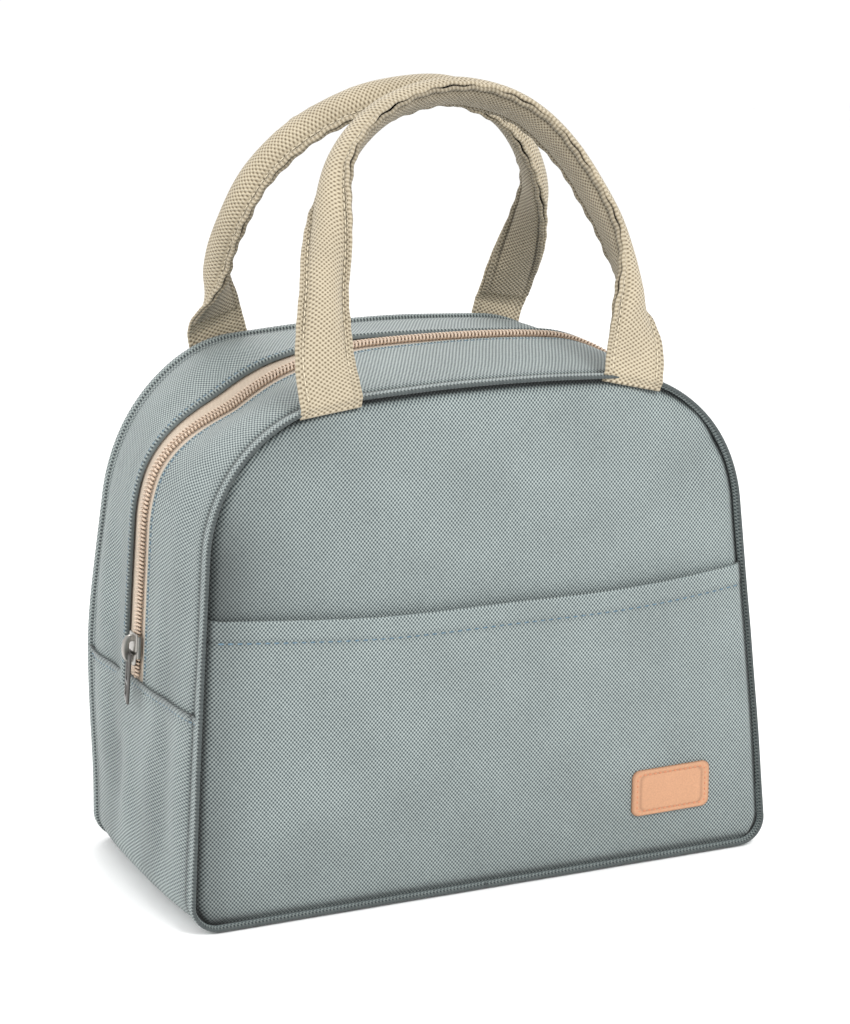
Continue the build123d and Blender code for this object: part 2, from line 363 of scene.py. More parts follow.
def gusset_swell(s, y):
    """How far the gusset stands out of the arch: less than nothing at its seams, and most midway."""
    _, z, _, out_z = arch_at(s)
    rise = side_rise + np.where(out_z > 0, (crown_rise - side_rise) * out_z, (side_rise - base_rise) * out_z)
    share = np.clip(np.abs(y) / gusset_edge, 0, 1)
    folds = 1.2 * np.sin(y / 8.5 + 0.02 * z + 0.6) + 0.7 * np.sin(y / 4.6 - 0.02 * z)
    clear = np.maximum(smooth((np.abs(y) - 14) / 18), smooth((70 - z) / 20))
    clear = clear * (1 - 0.7 * bell(z - fold_height, 12))
    where = smooth((z - 8) / 30) * smooth((190 - z) / 60) * (1 - share**4) * clear
    crumple = 1.1 * np.sin(0.055 * z + y / 14) * np.sin(0.031 * z + 1.3)
    pinch = 1.6 * bell(np.abs(y) - gusset_edge + crease_in, 1.3) * smooth((z - 20) / 40)
    saddle = crown_saddle * bell(y + 3, 24) * smooth((s + 126) / 46) * smooth((-22 - s) / 64)
    return rise * (1 - share**2.6) - seam_tuck(out_z) + (folds + crumple) * where - 0.45 * pinch - saddle


def gusset_point(s, y, out=0.0):
    """A point on the gusset at length s along the arch and y across it, lifted out of the cloth."""
    x, z, out_x, out_z = arch_at(s)
    lift = gusset_swell(s, y) + out
    return settle(np.stack([x + out_x * lift, y + 0 * lift, z + out_z * lift], -1))


panel_swell = 3.2
panel_sink = 0.8
groove_deep = 2.6
welt_reach = 4.6
widest = int(np.argmax(arch_x))


def clear_of_seam(x, z):
    """How far a place on the panel is inside the groove beside its seam strip."""
    top = np.interp(np.abs(x), arch_x[:widest], arch_z[:widest])
    near = np.minimum(np.minimum(half_width(z) - np.abs(x), z + 1.5), top - z)
    return np.maximum(near - welt_reach, 0)


def left_seam_shade(x, z, reach):
    """Painted shade that runs down the left seam: 1 beside it, and fading over about reach."""
    return np.exp(-((np.maximum(half_width(z) + x - 5, 0) / reach) ** 1.5))


def panel_depth_at(x, z):
    """How far the front or back panel stands from the middle of the bag: it swells between its seams, and
    is drawn in where it goes into them."""
    reach = np.clip(np.abs(x) / np.maximum(half_width(z), 1), 0, 1)
    height = np.clip(z / (crown_height - seam_in), 0, 1)
    swell = panel_swell * (1 - reach**3) * (1 - np.abs(2 * height - 1) ** 3)
    return half_depth - panel_sink + swell - groove_deep * bell(clear_of_seam(x, z), 2.0)


def front_creases(x, z):
    """Two slow creases in the front above the pocket, where the handles pull and the stuffing gives way."""
    left = 1.5 * bell((x + 62) * 0.8 + (z - 165) * 0.6, 9.0) * bell(z - 168, 22)
    right = 1.3 * bell((x - 92) * 0.62 - (z - 160) * 0.78, 6.0) * bell(x - 88, 24)
    return left + right


def panel_shade(side, x, z):
    """How deep in shade the panel's cloth lies: a thin dark line at the seam, and in front the hollow that
    runs down the left seam and under the left end of the handle."""
    line = 0.95 * bell(clear_of_seam(x, z), 0.95)
    if side > 0:
        return line
    hollow = 0.52 * left_seam_shade(x, z, 15.0) * smooth((z - 20) / 40)
    hollow += 0.22 * bell(half_width(z) + x, 42.0) * smooth((z - 90) / 30)
    hollow *= 1 - 0.7 * smooth((z - 138) / 34)
    under = 0.12 * bell(x + 70, 22) * bell(z - 184, 16)
    return np.clip(line + hollow * (1 - line) + under, 0, 1)


def panel_point(side, x, z, out=0.0):
    """A point on the front (side -1) or back (side 1) panel, lifted out of the cloth."""
    depth = panel_depth_at(x, z) + out - (front_creases(x, z) if side < 0 else 0)
    return settle(np.stack([x, side * depth, z + 0 * x], -1))


# %% [markdown]
# ## The finishes
# The cloth is a sturdy polyester in a basket weave: light floats of yarn in slanting rows with dark gaps.
# The pattern is the product of two sine waves along the cloth's own coordinates, so each yarn crossing
# is a small pillow. It colours the cloth and raises its bump, and slow noise shades it as dye and light do.

# %% Material helpers
# How dark the deepest painted shade makes a colour, as a share of it.
deepest_painted_shade = 0.05


def nodes_of(name):
    """A new material, its node tree and its shader."""
    material = bpy.data.materials.new(name)
    material.use_nodes = True
    tree = material.node_tree
    return material, tree, tree.nodes["Principled BSDF"]


def math_node(tree, kind, first, second=None, third=None):
    """One arithmetic step. Each input is a socket or a number."""
    node = tree.nodes.new("ShaderNodeMath")
    node.operation = kind
    for socket, value in zip(node.inputs, (first, second, third)):
        if value is None:
            continue
        if isinstance(value, bpy.types.NodeSocket):
            tree.links.new(value, socket)
        else:
            socket.default_value = value
    return node.outputs[0]


def noise_node(tree, vector, scale, detail=2.0, stretch=(1, 1, 1)):
    """Noise on a stretched copy of some coordinates."""
    mapping = tree.nodes.new("ShaderNodeMapping")
    mapping.inputs["Scale"].default_value = stretch
    tree.links.new(vector, mapping.inputs["Vector"])
    noise = tree.nodes.new("ShaderNodeTexNoise")
    noise.inputs["Scale"].default_value = scale
    noise.inputs["Detail"].default_value = detail
    tree.links.new(mapping.outputs["Vector"], noise.inputs["Vector"])
    return noise.outputs["Fac"]


def ramp_node(tree, value, stops):
    """Colours along a value from 0 to 1, as (place, colour) pairs."""
    ramp = tree.nodes.new("ShaderNodeValToRGB")
    elements = ramp.color_ramp.elements
    while len(elements) < len(stops):
        elements.new(0.5)
    for element, (place, colour) in zip(elements, stops):
        element.position = place
        element.color = (*colour, 1.0)
    tree.links.new(value, ramp.inputs["Fac"])
    return ramp.outputs["Color"]


def bump_node(tree, height, distance, strength=1.0, under=None):
    """A bump of a height in metres, on top of another."""
    bump = tree.nodes.new("ShaderNodeBump")
    bump.inputs["Strength"].default_value = strength
    bump.inputs["Distance"].default_value = distance
    tree.links.new(height, bump.inputs["Height"])
    if under is not None:
        tree.links.new(under, bump.inputs["Normal"])
    return bump.outputs["Normal"]


def shade_node(tree, colour, factor, low, high, ends=(0.3, 0.7)):
    """Multiplies a colour by a grey that runs from low to high as a factor goes from one end to the other."""
    grey = ramp_node(tree, factor, [(ends[0], (low,) * 3), (ends[1], (high,) * 3)])
    mix = tree.nodes.new("ShaderNodeMix")
    mix.data_type, mix.blend_type = "RGBA", "MULTIPLY"
    mix.inputs["Factor"].default_value = 1.0
    tree.links.new(colour, mix.inputs["A"])
    tree.links.new(grey, mix.inputs["B"])
    return mix.outputs["Result"]


def painted_shade_node(tree, colour):
    """Paints shade into a colour: darkens it by the seam_shade attribute, where the piece lies in a seam, crease
    or shadow.
    """
    seam = tree.nodes.new("ShaderNodeAttribute")
    seam.attribute_name = "seam_shade"
    return shade_node(tree, colour, seam.outputs["Fac"], 1.0, deepest_painted_shade, (0.0, 1.0))


def woven(name, pitch_x, pitch_y, stops, depth, roughness, sheen, cloud=(0.92, 1.06), fuzz=0.25):
    """A basket weave: two sine waves along the cloth's own coordinates, in millimetres, make the yarn
    crossings; fine stretched noise makes each yarn uneven; slow noise clouds the dye."""
    material, tree, shader = nodes_of(name)
    cloth = tree.nodes.new("ShaderNodeUVMap")
    cloth.uv_map = "weave"
    parts = tree.nodes.new("ShaderNodeSeparateXYZ")
    tree.links.new(cloth.outputs["UV"], parts.inputs["Vector"])
    wave_x = math_node(tree, "SINE", math_node(tree, "MULTIPLY", parts.outputs["X"], 2 * np.pi / pitch_x))
    wave_y = math_node(tree, "SINE", math_node(tree, "MULTIPLY", parts.outputs["Y"], 2 * np.pi / pitch_y))
    crossing = math_node(tree, "MULTIPLY_ADD", math_node(tree, "MULTIPLY", wave_x, wave_y), 0.5, 0.5)
    yarn = noise_node(tree, cloth.outputs["UV"], 1.0, 1.0, (0.35, 1.9, 1.0))
    value = math_node(tree, "ADD", crossing, math_node(tree, "MULTIPLY_ADD", yarn, fuzz, -fuzz / 2))
    colour = ramp_node(tree, value, stops)
    colour = shade_node(tree, colour, noise_node(tree, cloth.outputs["UV"], 0.035, 3.0), *cloud)
    # Painted shade from the seam_shade attribute darkens the cloth's colour.
    tree.links.new(painted_shade_node(tree, colour), shader.inputs["Base Color"])
    shader.inputs["Roughness"].default_value = roughness
    shader.inputs["Specular IOR Level"].default_value = 0.3
    shader.inputs["Sheen Weight"].default_value = sheen
    shader.inputs["Sheen Roughness"].default_value = 0.45
    wrinkle = bump_node(tree, noise_node(tree, cloth.outputs["UV"], 0.11, 2.0), 0.0006, 0.5)
    tree.links.new(bump_node(tree, value, depth, 0.9, wrinkle), shader.inputs["Normal"])
    return material


def plain(name, colour, roughness, grain=900.0, depth=0.0001, metallic=0.0, shade=(0.88, 1.08), **sockets):
    """A finish whose colour and bump are broken up by fine and slow noise on object coordinates."""
    material, tree, shader = nodes_of(name)
    place = tree.nodes.new("ShaderNodeTexCoord").outputs["Object"]
    darker, lighter = (tuple(min(c * level, 1) for c in colour) for level in shade)
    rgb = ramp_node(tree, noise_node(tree, place, grain, 3.0), [(0.25, darker), (0.75, lighter)])
    rgb = shade_node(tree, rgb, noise_node(tree, place, 30.0, 2.0), 0.94, 1.04)
    # Painted shade from the seam_shade attribute darkens the colour.
    tree.links.new(painted_shade_node(tree, rgb), shader.inputs["Base Color"])
    shader.inputs["Roughness"].default_value = roughness
    shader.inputs["Metallic"].default_value = metallic
    for socket, value in sockets.items():
        shader.inputs[socket.replace("_", " ")].default_value = value
    tree.links.new(bump_node(tree, noise_node(tree, place, grain, 2.0), depth, 0.6), shader.inputs["Normal"])
    return material


# %% The finishes themselves
sage_stops = [(0.12, (0.032, 0.043, 0.047)), (0.42, (0.142, 0.175, 0.179)), (0.82, (0.345, 0.388, 0.37))]
sage_pitch_x, sage_pitch_y = 1.42, 1.66
sage_cloth = woven("sage_basket_cloth", sage_pitch_x, sage_pitch_y, sage_stops, 0.0003, 0.62, 0.12)
cream_stops = [(0.05, (0.13, 0.10, 0.06)), (0.3, (0.32, 0.265, 0.18)), (0.7, (0.50, 0.435, 0.32))]
cream_webbing = woven("cream_basket_webbing", 2.3, 1.7, cream_stops, 0.0006, 0.8, 0.15)
tape_stops = [(0.1, (0.34, 0.265, 0.20)), (0.5, (0.50, 0.41, 0.32)), (0.9, (0.60, 0.51, 0.41))]
peach_tape = woven("peach_zipper_tape", 0.7, 0.7, tape_stops, 0.0001, 0.7, 0.2)
peach_coil = plain("peach_coil_nylon", (0.55, 0.43, 0.33), 0.42, 600.0, 0.00003)
foil_lining = plain("silver_foil_lining", (0.66, 0.67, 0.68), 0.34, 55.0, 0.0012, 0.75)
white_foam = plain("white_insulating_foam", (0.82, 0.82, 0.80), 0.9, 1400.0, 0.0003)
blue_thread = plain("slate_blue_thread", (0.085, 0.15, 0.20), 0.6, 2600.0, 0.00006)
cream_thread = plain("cream_thread", (0.56, 0.49, 0.36), 0.65, 2600.0, 0.00006)
tan_thread = plain("tan_thread", (0.50, 0.20, 0.10), 0.6, 2600.0, 0.00006)
bright_nickel = plain("bright_nickel", (0.36, 0.345, 0.32), 0.3, 220.0, 0.00004, 1.0)
dark_nickel = plain("gunmetal", (0.11, 0.105, 0.10), 0.3, 260.0, 0.00004, 1.0)
tan_leather = plain("tan_leather", (0.47, 0.245, 0.135), 0.55, 1500.0, 0.00012)
pale_floor = nodes_of("pale_floor")[0]
pale_floor.node_tree.nodes["Principled BSDF"].inputs["Base Color"].default_value = (0.96, 0.96, 0.96, 1.0)
print("materials", len(bpy.data.materials))

# %% Floor


def make_floor(half=4000.0, count=9):
    """A level grid under the bag."""
    x, y = np.meshgrid(np.linspace(-half, half, count), np.linspace(-half, half, count), indexing="ij")
    points = np.stack([x, y, 0 * x - 0.3], -1).reshape(-1, 3)
    index = np.arange(count * count).reshape(count, count)
    faces = np.stack([index[:-1, :-1], index[1:, :-1], index[1:, 1:], index[:-1, 1:]], -1).reshape(-1, 4)
    floor = make_piece("floor", points, faces, points[:, :2], pale_floor)
    return floor


make_floor()

# %% [markdown]
# ## The layers of the wall
# On the real bag each wall is a sandwich: cloth outside, a few millimetres of foam, and a foil lining that
# wipes clean. All three are the same surface at different depths, so one function makes each wall three
# times. The gusset is a strip carried along the arch, and the panels are discs that fill the arch.

# %% Layer depths
cloth_thick, foam_thick, lining_thick, layer_gap = 0.9, 3.6, 0.4, 0.15
cloth_grid, hidden_grid = (84, 560), (40, 280)
wall_bend, strip_bend = (73, 93), (82, 94)
foam_out = -(cloth_thick + layer_gap)
lining_out = foam_out - foam_thick - layer_gap
layers = (
    ("", 0.0, cloth_thick, sage_cloth, "outer_fabric"),
    ("foam", foam_out, foam_thick, white_foam, "foam"),
    ("lining", lining_out, lining_thick, foil_lining, "lining"),
)


def hold(piece, half, y, low, high):
    """Attaches the piece to the bag when half is None, and otherwise only bakes its place into its mesh.
    Low and high are not used.
    """
    if half is None:
        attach(piece, "bag")
    else:
        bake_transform(piece)
    return piece


# %% Panels


def polar_grid(inset, rings, around):
    """Places over the whole arch in XZ: rings drawn in from the outline, moved in by inset, to its middle."""
    s = np.linspace(-arch_length, arch_length, around, endpoint=False)
    x, z, out_x, out_z = arch_at(s)
    edge = np.stack([x - out_x * inset, z - out_z * inset], -1)
    middle = np.array([0.0, crown_height / 2])
    share = 1 - np.linspace(0, 1, rings, endpoint=False)[:, None, None] ** 1.3
    return middle + (edge - middle) * share


def make_panel(name, side, replaced, out, thick, material, slot, inset):
    """The front or back wall of one layer, across the fold."""
    place = polar_grid(inset, *(cloth_grid if slot == "outer_fabric" else hidden_grid))
    x, z = place[..., 0], place[..., 1]
    outer, inner = panel_point(side, x, z, out), panel_point(side, x, z, out - thick)
    piece = disc_skin(name, outer, inner, np.stack([x, z], -1), material, panel_shade(side, x, z))
    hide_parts(*replaced)
    return piece


for side_name, side in both_sides:
    for layer, out, thick, material, slot in layers:
        kind = layer or "panel"
        inset = (seam_in - 0.3) if not layer else seam_in + 1.0 - out
        panel = make_panel(
            f"{side_name}_wall_{layer or 'cloth'}", side,
            [f"{side_name}_{kind}_lower", f"{side_name}_{kind}_upper"],
            out, thick, material, slot, inset,
        )
        hold(panel, f"{side_name}_half", side * half_depth, *wall_bend)
print("panels made")

# %% [markdown]
# The gusset is one strip of cloth round the arch, in two kinds: a tub strip under the fold, and two strips
# above it that meet at the zipper. The tub strip's upper edge is folded over and lapped on the others, and
# each strip beside the zipper has a folded edge that stands a little off the tape.

# %% Gusset strips
lap, lap_over, lap_stitch = 4.5, 0.5, 2.8
zip_stitch = 2.6
zip_lift, front_lift = 1.3, 0.1
front_edge, back_edge = 5.6, 10.4


def strip_reach(layer, out):
    """How far across the gusset a layer goes: the cloth into the seam, the others short of it."""
    return gusset_edge - 3.0 + out if layer else gusset_edge + 0.6


def strip_rows(low, high, step=2.0):
    """Even places along the arch between two lengths."""
    return np.linspace(low, high, max(int(abs(high - low) / step), 8))


def strip_columns(low, high, count):
    """Places across a strip, closer together near its two edges."""
    t = np.linspace(0, 1, count)
    t = 0.5 * t + 0.5 * smooth(t)
    return low + (high - low) * t


across_scale = 0.62


def gusset_shade(s, y):
    """How deep in shade the gusset's cloth lies: in the crease beside each seam strip, and, in front, along
    the folds that run down from the left shoulder."""
    away = np.abs(y) - (gusset_edge - crease_in)
    crease = 0.55 * bell(away, 0.9) + 0.12 * bell(away, 4.5)
    folds = 0.16 * np.clip(np.sin(y / 8.5 + 0.02 * arch_at(s)[1] + 3.4), 0, 1) * smooth((165 - arch_at(s)[1]) / 60)
    return crease + folds * (1 - crease)


def make_strip(name, s, y, out, thick, material, raise_field=None, follow=0.0, dark=None):
    """A strip of one layer along s and across y. A share of it may follow the zipper's folded edges."""
    s, y = np.meshgrid(s, y, indexing="ij")
    from_edge = np.abs(y - y[:, :1]) if dark else y
    shift = zip_edge - zip_edge_at(s, np.sign(y))
    y = y - follow * np.sign(y) * shift * (1 - smooth((np.abs(y) - zip_edge) / 40))
    lift = out + (raise_field(s, y) if raise_field else 0)
    outer, inner = gusset_point(s, y, lift), gusset_point(s, y, lift - thick)
    cloth = np.stack([s, from_edge * across_scale], -1)
    return skin(name, outer, inner, cloth, material, dark(s, y) if dark else None)


def tub_raise(s, y):
    """The folded upper edge of the tub strip stands over the strips above it."""
    z = arch_at(s)[1]
    edge = np.clip((fold_height + lap_over - z) / 9.0, 0, 1)
    return 1.3 * (1 - edge) ** 1.5 - 0.7 * bell(z - fold_height + 3.0, 1.2)


def zip_edge_at(s, side):
    """How far each folded edge is from the middle of the zipper: nearer in front, and nearer towards the
    right of the crown, where the cloth relaxes over the tape."""
    edge = np.where(side < 0, front_edge, back_edge)
    return edge - (edge - 3.2) * smooth((s + 40) / 75) * smooth((170 - s) / 60)


def zip_raise(s, y):
    """The folded edge beside the zipper is a double thickness, pinched by its row of stitches."""
    away = np.abs(y) - zip_edge_at(s, np.sign(y))
    rolled = np.where(y < 0, 0.35, 1.1) * bell(away, 5.5) - 0.7 * bell(away, 0.5)
    stitched = 0.4 * bell(away - zip_stitch, 0.7)
    return rolled - stitched + np.where(y < 0, front_lift, zip_lift) * bell(away, 12.0)


def zip_shade(s, y):
    """The strip's shade, with a soft dark line at its folded edge and along its stitches."""
    away = np.abs(y) - zip_edge_at(s, np.sign(y))
    line = 0.5 * bell(away, 0.8) + 0.3 * bell(away - zip_stitch, 0.6)
    return np.clip(gusset_shade(s, y) + line, 0, 1)


def tub_shade(s, y):
    """The tub strip's shade, with a dark line along its stitches and its lapped edge."""
    down = fold_height + lap_over - arch_at(s)[1]
    line = 0.35 * bell(down - 3.0, 0.8) + 0.5 * bell(down, 0.7)
    return np.clip(gusset_shade(s, y) + line, 0, 1)


tub_s_right = strip_rows(fold_run - lap_over, arch_length)
tub_s = np.concatenate([tub_s_right, 2 * arch_length - tub_s_right[::-1][1:]])


def tub_places(s):
    """Lengths past the middle of the base carry on up the left side."""
    return np.where(s > arch_length, s - 2 * arch_length, s)


for layer, out, thick, material, slot in layers:
    reach = strip_reach(layer, out)
    columns = strip_columns(-reach, reach, 90)
    grid_s, grid_y = np.meshgrid(tub_s, columns, indexing="ij")
    wrapped = tub_places(grid_s)
    lift = out + (0 if layer else tub_raise(wrapped, grid_y))
    piece = skin(
        "tub_" + (layer or "cloth"), gusset_point(wrapped, grid_y, lift),
        gusset_point(wrapped, grid_y, lift - thick), np.stack([grid_s, grid_y * across_scale], -1), material,
        None if layer else tub_shade(wrapped, grid_y),
    )
    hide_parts("base_and_side_" + (layer or "gusset"))
    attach(piece, "bag")

for side_name, side in both_sides:
    for layer, out, thick, material, slot in layers:
        inner_edge = zip_edge + (8.0 if layer == "foam" else 0.0)
        columns = side * strip_columns(inner_edge, strip_reach(layer, out), 60)
        bottom = fold_run + (lap if not layer else -1.0)
        piece = make_strip(
            f"{side_name}_top_{layer or 'cloth'}",
            strip_rows(-bottom, bottom, 1.8), columns, out, thick, material,
            *((None, 0.0, None) if layer else (zip_raise, 1.0, zip_shade)),
        )
        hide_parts(f"{side_name}_{'zipper_gusset' if not layer else 'gusset_' + layer}")
        hold(piece, f"{side_name}_half", 0, *strip_bend)
print("gusset strips made")

# %% [markdown]
# ## The seam strips
# Where a panel meets the gusset, the turned edge makes a narrow strip. It could be a round cord, but this
# one lies flat against the gusset and is pinched along its stitch line, so its section is a flat oval.

# %% Seam strips
welt_wide, welt_tall = 2.6, 0.95


def welt_profile(count=20):
    """A seam strip seen end-on: a flat oval with blunt ends, pinched on its far side."""
    turn = np.linspace(0, 2 * np.pi, count, endpoint=False)
    pinch = 1 - 0.16 * bell(turn - np.pi * 0.85, 0.35)
    across, up = (np.sign(v) * np.abs(v) ** 0.7 for v in (np.cos(turn), np.sin(turn)))
    return welt_wide * across * pinch, welt_tall * up * pinch


for side_name, side in both_sides:
    s = np.linspace(-arch_length, arch_length, 900, endpoint=False)
    wraps = sage_pitch_x * round(2 * arch_length / sage_pitch_x) / (2 * arch_length)
    across, up = welt_profile(28)
    grid_s, grid_across = np.meshgrid(s, across, indexing="ij")
    grid_up = np.broadcast_to(up, grid_s.shape)
    x, z, out_x, out_z = arch_at(grid_s)
    uneven = 0.4 * np.sin(grid_s / 9.3) * np.sin(grid_s / 23.0 + side)
    lift = grid_up * (1 + 0.1 * uneven) - seam_tuck(out_z) + 0.25 + 0.15 * uneven
    lift = np.where(out_z < -0.5, np.minimum(lift, 0.0), lift)
    depth = half_depth - welt_wide + 0.6 + grid_across
    points = settle(np.stack([x + out_x * lift, side * depth, z + out_z * lift], -1))
    cloth = np.stack([grid_s * wraps, (grid_across - welt_wide) * across_scale], -1)
    # Painted shade: the seam strip is darker along both long edges, where it meets the panel and the gusset.
    dark = 0.75 * bell(grid_across - welt_wide, 0.9) + 0.5 * bell(grid_across + welt_wide, 1.0)
    faces = band_faces(*points.shape[:2], closed_rows=True)
    points, cloth = points.reshape(-1, 3), cloth.reshape(-1, 2)
    welt = make_piece(f"{side_name}_welt", points, faces, cloth, sage_cloth, shade=dark)
    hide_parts(f"{side_name}_piping_lower", f"{side_name}_piping_upper")
    hold(welt, f"{side_name}_half", side * half_depth, *wall_bend)

# %% [markdown]
# ## The front pocket
# The pocket is an open sleeve over the lower front: sewn in at its sides and base, and free along its
# mouth, where the cloth is turned under and stitched. Its mouth sags a little between the seams.

# %% Pocket
pocket_stand = 4.4
pocket_thick = 1.1
lip_radius = 1.0
hem_stitch = 8.2


def mouth_height(across):
    """The height of the pocket's mouth, from -1 at its left end to 1 at its right."""
    return pocket_height - 2.9 - 1.2 * across + 4.3 * across**2 + 0.35 * np.sin(7 * across + 1)


def pocket_depth_at(x, z):
    """How far the pocket stands out: on the panel at its sides and base, and clear of it at the mouth."""
    across = np.clip(np.abs(x) / half_width(z), 0, 1)
    open_up = smooth(z / pocket_height) ** 0.7
    stand = 1.2 + (pocket_stand - 1.2) * open_up * (1 - across**6)
    hollow = 0.5 * np.sin(x / 21.0 + z / 60.0) * np.sin(z / 37.0) * (1 - across**4)
    return panel_depth_at(x, z) + stand + hollow


def pocket_point(x, z, out=0.0):
    """A point on the pocket's face, lifted out of the cloth."""
    return settle(np.stack([x, -(pocket_depth_at(x, z) + out), z + 0 * x], -1))


def make_pocket():
    """For each place across, a closed profile: up the face, round the lip, and down the back of the cloth."""
    across = np.linspace(-1, 1, 230)
    rise = np.linspace(0, 1, 96) ** 1.4
    turn = np.linspace(0, np.pi / 2, 6)[1:]
    mouth = mouth_height(across)[:, None]
    floor_z = base_seam_in + 0.8
    z_face = floor_z + (mouth - lip_radius - floor_z) * rise
    z_lip = mouth - lip_radius + lip_radius * np.sin(turn) * np.ones_like(mouth)
    z = np.concatenate([z_face, z_lip], axis=1)
    in_lip = np.concatenate([np.zeros_like(rise), lip_radius * (1 - np.cos(turn))]) * 0.5
    x = across[:, None] * (half_width(np.minimum(z, mouth - 0.2)) - seam_in + 0.3)
    below = mouth - z
    hem = 0.5 * smooth((9.0 - below) / 1.6) - 0.45 * bell(below - hem_stitch, 0.6)
    outer = pocket_point(x, z, hem - in_lip)
    inner = pocket_point(x, z, -pocket_thick + in_lip - hem * 0.4)
    edge = half_width(z) - np.abs(x)
    # Painted shade: dark lines along the seam and the hem's stitches, the band down the left seam, darker towards
    # the bottom and darkest where it meets the floor.
    dark = 0.9 * bell(np.maximum(edge - welt_reach, 0), 1.0) + 0.30 * bell(below - hem_stitch, 0.7)
    dark += 0.42 * left_seam_shade(x, z, 13.0) * (1 - dark)
    dark = np.clip(dark + 0.14 * smooth((60 - z) / 60) + 0.6 * bell(z, 5.5), 0, 1)
    pocket = skin("front_pocket", outer, inner, np.stack([x, z], -1), sage_cloth, dark)
    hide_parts("front_pocket_lower", "front_pocket_upper", "front_pocket_hem")
    return hold(pocket, "front_half", -half_depth, *wall_bend)


make_pocket()
print("pocket made")

# %% [markdown]
# ## Stitches
# A row of stitches is a line of small thread beads, each a little spindle that lies along the row and sinks
# at its ends. One spindle of a few faces is made once and placed along the row by arrays.

# %% Stitch helper


def spindle(sides=6):
    """One stitch: three rings of a thread that thins towards its two ends, from -1/2 to 1/2 along x."""
    turn = np.linspace(0, 2 * np.pi, sides, endpoint=False)
    rings = ((-0.34, 0.85, -0.25), (0.0, 1.0, 0.0), (0.34, 0.85, -0.25))
    points = [(-0.5, 0.0, -1.0)]
    for place, radius, sink in rings:
        points += [(place, radius * np.cos(a), radius * np.sin(a) + sink) for a in turn]
    points.append((0.5, 0.0, -1.0))
    faces = []
    for ring in range(2):
        for k in range(sides):
            a, b = 1 + ring * sides + k, 1 + ring * sides + (k + 1) % sides
            faces.append((a, b, b + sides, a + sides))
    last = 1 + 3 * sides
    for k in range(sides):
        faces.append((0, 1 + (k + 1) % sides, 1 + k, -1))
        faces.append((last, last - sides + k, last - sides + (k + 1) % sides, -1))
    return np.array(points), np.array(faces)


def stitch_row(name, path, face, material, pitch=3.2, length=2.3, radius=0.28):
    """Stitches along a line of points, with the side they show given by face."""
    at = spaced(path, pitch)
    place, up = along(path, at), unit(along(face, at))
    ahead = unit(along(path, np.minimum(at + 0.5, len(path) - 1)) - along(path, np.maximum(at - 0.5, 0)))
    across = unit(np.cross(up, ahead))
    shape, faces = spindle()
    points = (
        place[:, None] + ahead[:, None] * (shape[:, 0:1] * length)
        + across[:, None] * (shape[:, 1:2] * radius) + up[:, None] * (shape[:, 2:3] * radius)
    ).reshape(-1, 3)
    offset = (np.arange(len(place)) * len(shape))[:, None, None]
    all_faces = np.where(faces[None] >= 0, faces[None] + offset, -1).reshape(-1, 4)
    row = make_piece(name, points, all_faces, points[:, [0, 2]], material)
    return row


# %% Stitches on the cloth
stitch_x = np.linspace(-0.965, 0.965, 400)
hem_z = mouth_height(stitch_x) - hem_stitch
hem_x = stitch_x * (half_width(hem_z) - seam_in)
hem_line = pocket_point(hem_x, hem_z, 0.05)
hem_face = np.tile([0.0, -1.0, 0.0], (len(hem_line), 1))
hem_row = stitch_row("pocket_hem_stitches", hem_line, hem_face, blue_thread, 3.4, 2.6, 0.42)
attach(hem_row, "front_half")

lap_y = np.linspace(-gusset_edge + 2, gusset_edge - 2, 200)
for name, sign in (("left", -1), ("right", 1)):
    lap_s = sign * (fold_run + lap_stitch) + 0 * lap_y
    line = gusset_point(lap_s, lap_y, tub_raise(lap_s, lap_y) + 0.12)
    row = stitch_row(f"{name}_lap_stitches", line, np.tile([sign, 0.0, 0.0], (len(line), 1)), blue_thread,
                     3.2, 2.4, 0.38)
    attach(row, "bag")

for side_name, side in both_sides:
    zip_s = np.linspace(-fold_run + 3, fold_run - 3, 900)
    zip_y = side * (zip_edge_at(zip_s, side) + zip_stitch)
    lift = zip_raise(zip_s, zip_y)
    line = gusset_point(zip_s, zip_y, lift + 0.1)
    face = gusset_point(zip_s, zip_y, lift + 1.0) - line
    row = stitch_row(f"{side_name}_zipper_stitches", line, face, blue_thread, 3.0, 2.3, 0.33)
    hold(row, f"{side_name}_half", 0, *strip_bend)

# %% [markdown]
# ## The zipper
# Each half of the zipper is a woven tape with a nylon coil along its edge. The coil is a real helix: a thin
# round thread wound into flat loops, which hook between the loops of the other side.

# %% Tapes and coils
coil_pitch = 1.5
coil_half_wide, coil_half_tall, coil_wire = 1.35, 0.62, 0.42
tape_out = -0.05


def tube(path, radius, sides=6):
    """A round thread along a line of points. Each ring stands square to the line, with no twist built up
    because both its axes are worked out from a fixed direction."""
    ahead = unit(np.gradient(path, axis=0))
    first = unit(np.cross(ahead, np.array([0.13, 0.97, 0.2])))
    second = np.cross(ahead, first)
    turn = np.linspace(0, 2 * np.pi, sides, endpoint=False)
    ring = np.cos(turn)[None, :, None] * first[:, None] + np.sin(turn)[None, :, None] * second[:, None]
    return path[:, None] + ring * radius


